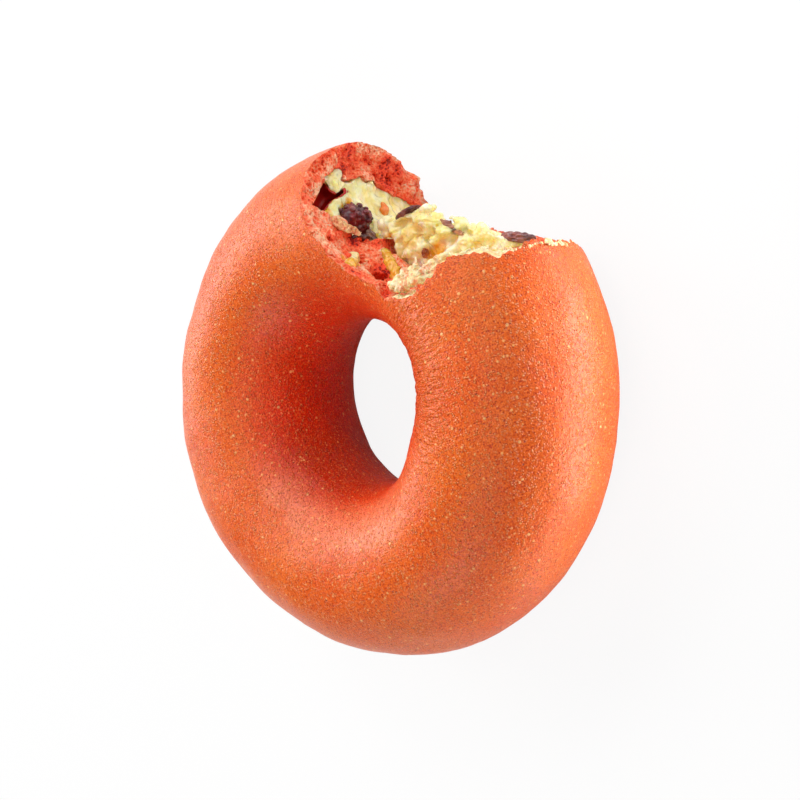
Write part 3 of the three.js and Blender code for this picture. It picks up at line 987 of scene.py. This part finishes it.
def baked_skin():
    """Baked wheat crust, coloured with tomato: a satin skin full of pin blisters and pores."""
    material, tree, shader = new_material("baked_wheat_crust")
    place = add(tree, "TexCoord")["Object"]
    hollow, shaded, taut, creased = [
        add(tree, "Attribute", attribute_name=name)["Fac"]
        for name in ("hollow", "shaded", "taut", "creased")
    ]
    rolled = add(tree, "Attribute", attribute_name="rolled")["Vector"]
    # Patches of browning, mottle, and the grain of the flour, which is drawn at 0.3 mm, as coarse as
    # it has to be to show, and so are the flecks of 0.42 mm.
    patches, mottle, grain = [
        add(tree, "TexNoise", {"Vector": place, "Scale": per(span), "Detail": detail})["Fac"]
        for span, detail in ((13, 3), (1.6, 2), (0.3, 1))
    ]
    flecks = add(tree, "TexVoronoi", {"Vector": place, "Scale": per(0.42)})
    chance = add(tree, "SeparateColor", {0: flecks["Color"]})[0]
    fleck = add(tree, "MapRange", {"Value": flecks["Distance"], 1: 0.25, 2: 0.55, 3: 1, 4: 0})[0]
    smooth_part = add(tree, "MapRange", {"Value": hollow, 3: 1, 4: 0.3})[0]
    pale_fleck = add(tree, "Math", {0: fleck, 1: smooth_part}, operation="MULTIPLY")[0]
    colour = laid_over(tree, rgb("#ea5a0c"), (
        (patches, 0.35, 0.65, 1, "#ee6a16"),
        # deeper red on the wall of the hole: partly skin that browned less, partly painted shade
        (hollow, 0, 1, 1, "#ed2405"),
        # painted shade deep in the hole's far wall
        (shaded, 0, 1, 1, "#b41a05"),
        (mottle, 0.5, 0.3, 0.25, "#d8400a"),
        # painted sheen below the hole
        (taut, 0, 1, 0.55, "#f68a60"),
        (grain, 0.5, 0.7, 0.55, "#ff8a3c"),
        (grain, 0.5, 0.3, 0.55, "#c03004"),
        (chance, 0.55, 0.95, pale_fleck, "#ff944e"),
        (chance, 0.45, 0.05, fleck, "#bc3006"),
    ))
    raised = add(tree, "MapRange", {"Value": chance, 1: 0.45, 2: 1, 4: 0.32})[0]
    heights = [(raised, fleck), (grain, 0.1), (mottle, 0.12)]
    # Blisters and pores: one in each cell, its radius in cells, the least chance that it is there,
    # its colour, and its height in millimetres.
    for cell, radius, least, paint, height in (
        (0.9, 0.17, 0.5, "#ffa264", 0.06),
        (1.1, 0.15, 0.6, "#b8340a", -0.06),
        (1.7, 0.13, 0.4, "#ffb468", 0.06),
        (2.8, 0.095, 0.5, "#ffc47a", 0.08),
        (2.3, 0.075, 0.5, "#9c2e08", -0.1),
    ):
        cells = add(tree, "TexVoronoi", {"Vector": place, "Scale": per(cell)})
        chosen = add(tree, "SeparateColor", {0: cells["Color"]})[0]
        kept = add(tree, "Math", {0: chosen, 1: least}, operation="GREATER_THAN")[0]
        edge = {1: radius * 0.6, 2: radius * 1.4, 3: kept, 4: 0}
        speck = add(tree, "MapRange", {"Value": cells["Distance"], **edge})[0]
        colour = laid_over(tree, colour, ((speck, 0, 1, 0.85, paint),))
        heights.append((speck, height))
    # Lines round the far wall of the hole, and creases across its near lip.
    flat = add(tree, "VectorMath", {0: place, 1: (0.25, 0.25, 1)}, operation="MULTIPLY")[0]
    lines = add(tree, "TexNoise", {"Vector": flat, "Scale": per(0.8), "Detail": 2})["Fac"]
    heights.append((lines, add(tree, "MapRange", {"Value": shaded, 1: 0.6, 2: 1, 4: 0.8})[0]))
    creases = add(tree, "TexNoise", {"Vector": rolled, "Scale": 1.6, "Detail": 2})["Fac"]
    heights.append((creases, add(tree, "MapRange", {"Value": creased, 4: 1.3})[0]))
    total = 0
    for height, share in heights:
        total = add(tree, "Math", {0: height, 1: share, 2: total}, operation="MULTIPLY_ADD")[0]
    bump = add(tree, "Bump", {"Height": total, "Distance": 0.001, "Strength": 1})[0]
    look = {"Base Color": colour, "Normal": bump, "Roughness": 0.36, "Specular IOR Level": 0.38}
    feed(tree, shader, look)
    return material


def torn_crumb():
    """Torn wheat crumb: moist and open, painted deep red as shade in its pores, pale pink on the strands
    between.
    """
    material, tree, shader = new_material("torn_wheat_crumb")
    place = add(tree, "TexCoord")["Object"]
    pit, cream, ruddy, gold, wet = [
        add(tree, "Attribute", attribute_name=name)["Fac"]
        for name in ("pit", "cream", "ruddy", "gold", "wet")
    ]
    warp = add(tree, "TexNoise", {"Vector": place, "Scale": per(1.2), "Detail": 2})["Color"]
    shift = {0: warp, 1: (0.0007, 0.0007, 0.0007), 2: place}
    warped = add(tree, "VectorMath", shift, operation="MULTIPLY_ADD")[0]
    walls = add(tree, "TexVoronoi", {"Vector": warped, "Scale": per(0.75)}, feature="DISTANCE_TO_EDGE")[0]
    grain, patches = [
        add(tree, "TexNoise", {"Vector": place, "Scale": per(span), "Detail": 3})["Fac"]
        for span in (0.45, 3.2)
    ]
    # Depth into the crumb bumps it and darkens its colour. In the pores, the bubble holes and the listed
    # spots of shade in holes, the darker red is painted shade; the noise parts are the crumb's own uneven
    # tone.
    depth = 0
    for source, low, high, least, most in (
        (pit, 0, 1, 0.2, 0.72),
        (walls, 0.06, 0.42, -0.06, 0.28),
        (grain, 0.3, 0.7, -0.1, 0.1),
        (patches, 0.35, 0.65, -0.24, 0.24),
        (ruddy, 0, 1, 0, 0.35),
    ):
        part = add(tree, "MapRange", {"Value": source, 1: low, 2: high, 3: least, 4: most})[0]
        depth = add(tree, "Math", {0: depth, 1: part}, operation="ADD")[0]
    red = add(tree, "ValToRGB", {"Fac": depth}, stops=(
        (0, "#ffc09a"), (0.1, "#ffa07a"), (0.24, "#ff7e52"),
        (0.42, "#fc5e34"), (0.64, "#ee3e18"), (0.88, "#96140a"),
    ))[0]
    pale = add(tree, "ValToRGB", {"Fac": depth}, stops=(
        (0.1, "#fff0c4"), (0.36, "#ffe2a4"), (0.56, "#ffc492"), (0.9, "#f07a4c"),
    ))[0]
    colour = add(tree, "Mix", {0: cream, 6: red, 7: pale}, data_type="RGBA")[2]
    feed(tree, shader, {
        "Base Color": laid_over(tree, colour, ((gold, 0, 1, 1, "#f39a2e"),)),
        "Normal": add(tree, "Bump", {"Height": depth, "Distance": 0.0006, "Strength": 1}, invert=True)[0],
        "Roughness": add(tree, "MapRange", {"Value": wet, 3: 0.5, 4: 0.14})[0],
        "Specular IOR Level": 0.35,
        "Subsurface Weight": 0.2,
        "Subsurface Radius": (1, 0.25, 0.1),
        "Subsurface Scale": 0.001,
    })
    return material


def soft_cheese():
    """Soft young cheese: moist, faintly see-through, painted golden as shade in its creases and hollows,
    white where fluffed up.
    """
    material, tree, shader = new_material("soft_cream_cheese")
    place = add(tree, "TexCoord")["Object"]
    fluff, gold, crease = [
        add(tree, "Attribute", attribute_name=name)["Fac"] for name in ("fluff", "gold", "crease")
    ]
    patches, grain, ripples = [
        add(tree, "TexNoise", {"Vector": place, "Scale": per(span), "Detail": detail})["Fac"]
        for span, detail in ((2.2, 3), (0.5, 3), (1.1, 1))
    ]
    colour = laid_over(tree, rgb("#ffe896"), (
        (patches, 0.38, 0.6, 1, "#fff2c0"),
        # painted shade in the creases
        (crease, 0, 1, 0.32, "#ffd25c"),
        (fluff, 0, 1, 1, "#fff2cc"),
        # golden orange: painted shade in the heap's hollows, where the cheese meets the berry, and on the
        # strip beside the heap; a lighter share on every smear
        (gold, 0, 1, 1, "#f2ac2a"),
    ))
    height = add(tree, "Math", {0: ripples, 1: 3, 2: grain}, operation="MULTIPLY_ADD")[0]
    feed(tree, shader, {
        "Base Color": colour,
        "Normal": add(tree, "Bump", {"Height": height, "Distance": 0.00018, "Strength": 1})[0],
        "Roughness": 0.22,
        "Coat Weight": 0.5,
        "Coat Roughness": 0.1,
        "Subsurface Weight": 0.85,
        "Subsurface Radius": (1, 0.75, 0.3),
        "Subsurface Scale": 0.0028,
    })
    return material


def clouded(name, base, clouds, look):
    """A moist skin or jelly with clouds of other colours: size, detail, low, high, most and colour."""
    material, tree, shader = new_material(name)
    place = add(tree, "TexCoord")["Object"]
    layers = []
    for span, detail, low, high, most, paint in clouds:
        cloud = add(tree, "TexNoise", {"Vector": place, "Scale": per(span), "Detail": detail})["Fac"]
        layers.append((cloud, low, high, most, paint))
    feed(tree, shader, {"Base Color": laid_over(tree, rgb(base), layers), **look})
    return material


def pocket_skin_with_shade():
    """The dough's skin inside the air pocket: a thin, shiny film, deep red as painted shade in the pocket."""
    return clouded("pocket_skin_painted_shade", "#b00808", ((2, 3, 0.4, 0.65, 1, "#cc1a0a"),), {
        "Roughness": 0.35,
        "Subsurface Weight": 0.3,
        "Subsurface Radius": (1, 0.15, 0.1),
        "Subsurface Scale": 0.001,
    })


def fruit_film():
    """Fruit skin that came off its berry: a thin, brown, slightly see-through film."""
    veins = ((1, 3, 0.4, 0.65, 1, "#b08468"),)
    return clouded("dried_fruit_skin", "#6e3e34", veins, {"Roughness": 0.25, "Alpha": 0.85})


def fruit_jelly():
    """Fruit jelly: a clear, wet orange bit."""
    return clouded("fruit_jelly", "#e87c28", ((1.2, 2, 0.35, 0.65, 1, "#f4a45a"),), {
        "Roughness": 0.18,
        "Subsurface Weight": 0.5,
        "Subsurface Radius": (1, 0.45, 0.1),
        "Subsurface Scale": 0.001,
    })


def dried_fruit(dark, thin):
    """Dried cranberry: a wet-looking dark skin, redder or browner where it is thin, with pale patches of
    painted sheen.
    """
    patches = (2.4, 3, 0.4, 0.68, 1, thin)
    # pale lilac patches: painted sheen
    painted_sheen_patches = (1.7, 2, 0.54, 0.7, 0.5, "#b07c78")
    return clouded("dried_cranberry", dark, (patches, painted_sheen_patches), {
        "Roughness": 0.4,
        "Specular IOR Level": 0.25,
        "Coat Weight": 0.7,
        "Coat Roughness": 0.05,
    })


# Camera, floor and light

# The camera on the bench: where it stands, where it looks, which way is up, and its lens.
EYE = Vector((204.369, -0.817, 224.063))
FORWARD = Vector((-0.66704, 0, -0.74502))
PHOTO_UP = Vector((0.061719, 0.996563, -0.055259))
LENS = 69.74


def place_in_frame():
    """The bench to the frame: turned, stood on the floor, centred as the part is, in metres."""
    turn = Matrix.Rotation(math.radians(VIEW_TURN), 4, "Z")
    around = np.linspace(0, 2 * math.pi, 1440, endpoint=False)
    rim = shape_by_hand(swept(OUTER_DIAMETER / 2, around, 0 * around))
    rim = np.array([turn @ Vector(point) for point in rim])
    centre = (rim.min(0) + rim.max(0)) / 2
    shift = Matrix.Translation((-centre[0], -centre[1], MID_HEIGHT))
    return Matrix.Scale(0.001, 4) @ shift @ turn


PLACE = place_in_frame()


def make_camera():
    lens = bpy.data.cameras.new("camera")
    lens.lens = LENS
    lens.sensor_width = 36
    lens.clip_start = 0.01
    camera = bpy.data.objects.new("camera", lens)
    bpy.context.scene.collection.objects.link(camera)
    right = FORWARD.cross(PHOTO_UP)
    pose = Matrix((right, PHOTO_UP, -FORWARD)).transposed().to_4x4()
    pose.translation = EYE
    turned = PLACE @ pose
    camera.matrix_world = Matrix.LocRotScale(turned.to_translation(), turned.to_quaternion(), None)
    bpy.context.scene.camera = camera


# Soft boxes: name, direction and height in degrees, distance, width and height in metres, and watts.
SOFT_BOXES = (
    ("side_box", 97, 42, 0.7, 0.36, 0.3, 2.1),
    ("back_high_box", 150, 45, 0.7, 0.36, 0.3, 1.4),
    ("back_low_box", 162, 18, 0.7, 0.5, 0.22, 2.5),
    ("far_side_box", -88, 34, 0.7, 0.5, 0.4, 2.1),
    ("front_box", 10, 64, 0.7, 0.3, 0.3, 0.8),
    ("bite_box", 66, 20, 0.15, 0.07, 0.07, 0.045),
    ("glint_box", 5, 14, 0.3, 0.03, 0.03, 0.06),
)
# Lit cards that lie on the floor beside the near side and show in the skin as a pale band: the
# direction and watts of each.
FLOOR_CARDS = ((40, 0.009), (10, 0.036), (-20, 0.028), (-50, 0.006))
CARD_DISTANCE = 0.08
CARD_WIDTH, CARD_DEPTH = 0.041, 0.026
CARD_HEIGHT = 0.0006
SKY_LIGHT = 0.12


def soft_box(name, azimuth, elevation, distance, width, height, power):
    lamp = bpy.data.lights.new(name, "AREA")
    lamp.shape = "RECTANGLE"
    lamp.size = width
    lamp.size_y = height
    lamp.energy = power
    box = bpy.data.objects.new(name, lamp)
    bpy.context.scene.collection.objects.link(box)
    azimuth = math.radians(azimuth + VIEW_TURN)
    elevation = math.radians(elevation)
    flat = math.cos(elevation)
    direction = Vector((math.cos(azimuth) * flat, math.sin(azimuth) * flat, math.sin(elevation)))
    box.location = direction * distance + Vector((0, 0, MID_HEIGHT / 1000))
    box.rotation_euler = direction.to_track_quat("Z", "Y").to_euler()
    box.visible_camera = False
    return box


def make_light():
    for row in SOFT_BOXES:
        soft_box(*row)
    for azimuth, power in FLOOR_CARDS:
        card = soft_box("floor_card", azimuth, 0, CARD_DISTANCE, CARD_WIDTH, CARD_DEPTH, power)
        card.location.z = CARD_HEIGHT
        card.rotation_euler = (math.pi, 0, math.radians(azimuth + VIEW_TURN + 90))
    world = bpy.data.worlds.new("studio")
    bpy.context.scene.world = world
    world.use_nodes = True
    sky = world.node_tree.nodes["Background"]
    feed(world.node_tree, sky, {"Color": rgb("#ffffff"), "Strength": SKY_LIGHT})
    bpy.context.scene.view_settings.view_transform = "Standard"


def make_floor():
    """A pale matt card. What the lens sees of it glows, so that it comes out almost white."""
    bpy.ops.mesh.primitive_plane_add(size=4)
    floor = new_piece("floor")
    material, tree, shader = new_material("pale_card")
    feed(tree, shader, {"Base Color": rgb("#eeeeee"), "Roughness": 0.9, "Specular IOR Level": 0.1})
    glow = add(tree, "Emission", {"Color": rgb("#ffffff"), "Strength": 1})[0]
    to_lens = add(tree, "LightPath")["Is Camera Ray"]
    share = add(tree, "Math", {0: to_lens, 1: 0.9}, operation="MULTIPLY")[0]
    mixed = add(tree, "MixShader", {0: share, 1: shader.outputs[0], 2: glow})[0]
    feed(tree, tree.nodes["Material Output"], {"Surface": mixed})
    floor.data.materials.append(material)


def finish_piece(piece, node):
    """Settles a piece in its place in the frame, hangs it on the root, and hides the part's solid that it
    takes the place of.
    """
    piece.matrix_world = PLACE
    select_only(piece)
    bpy.ops.object.transform_apply(location=True, rotation=True, scale=True)
    bpy.ops.object.shade_smooth()
    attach(piece, "root")
    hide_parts(node)


crumb = torn_crumb()
bread = make_bread(crumb)
smears = make_smears(bread)
filling = make_filling()
finish_piece(bread, "bread")
finish_piece(smears, "filling")
finish_piece(filling, "filling")
finish_piece(make_fringe(crumb), "bread")
for bit, slot in make_torn_bits(crumb):
    finish_piece(bit, "bread")
finish_piece(make_pocket_lining(), "bread")
for berry, node in make_berries():
    finish_piece(berry, node)
make_floor()
make_camera()
make_light()
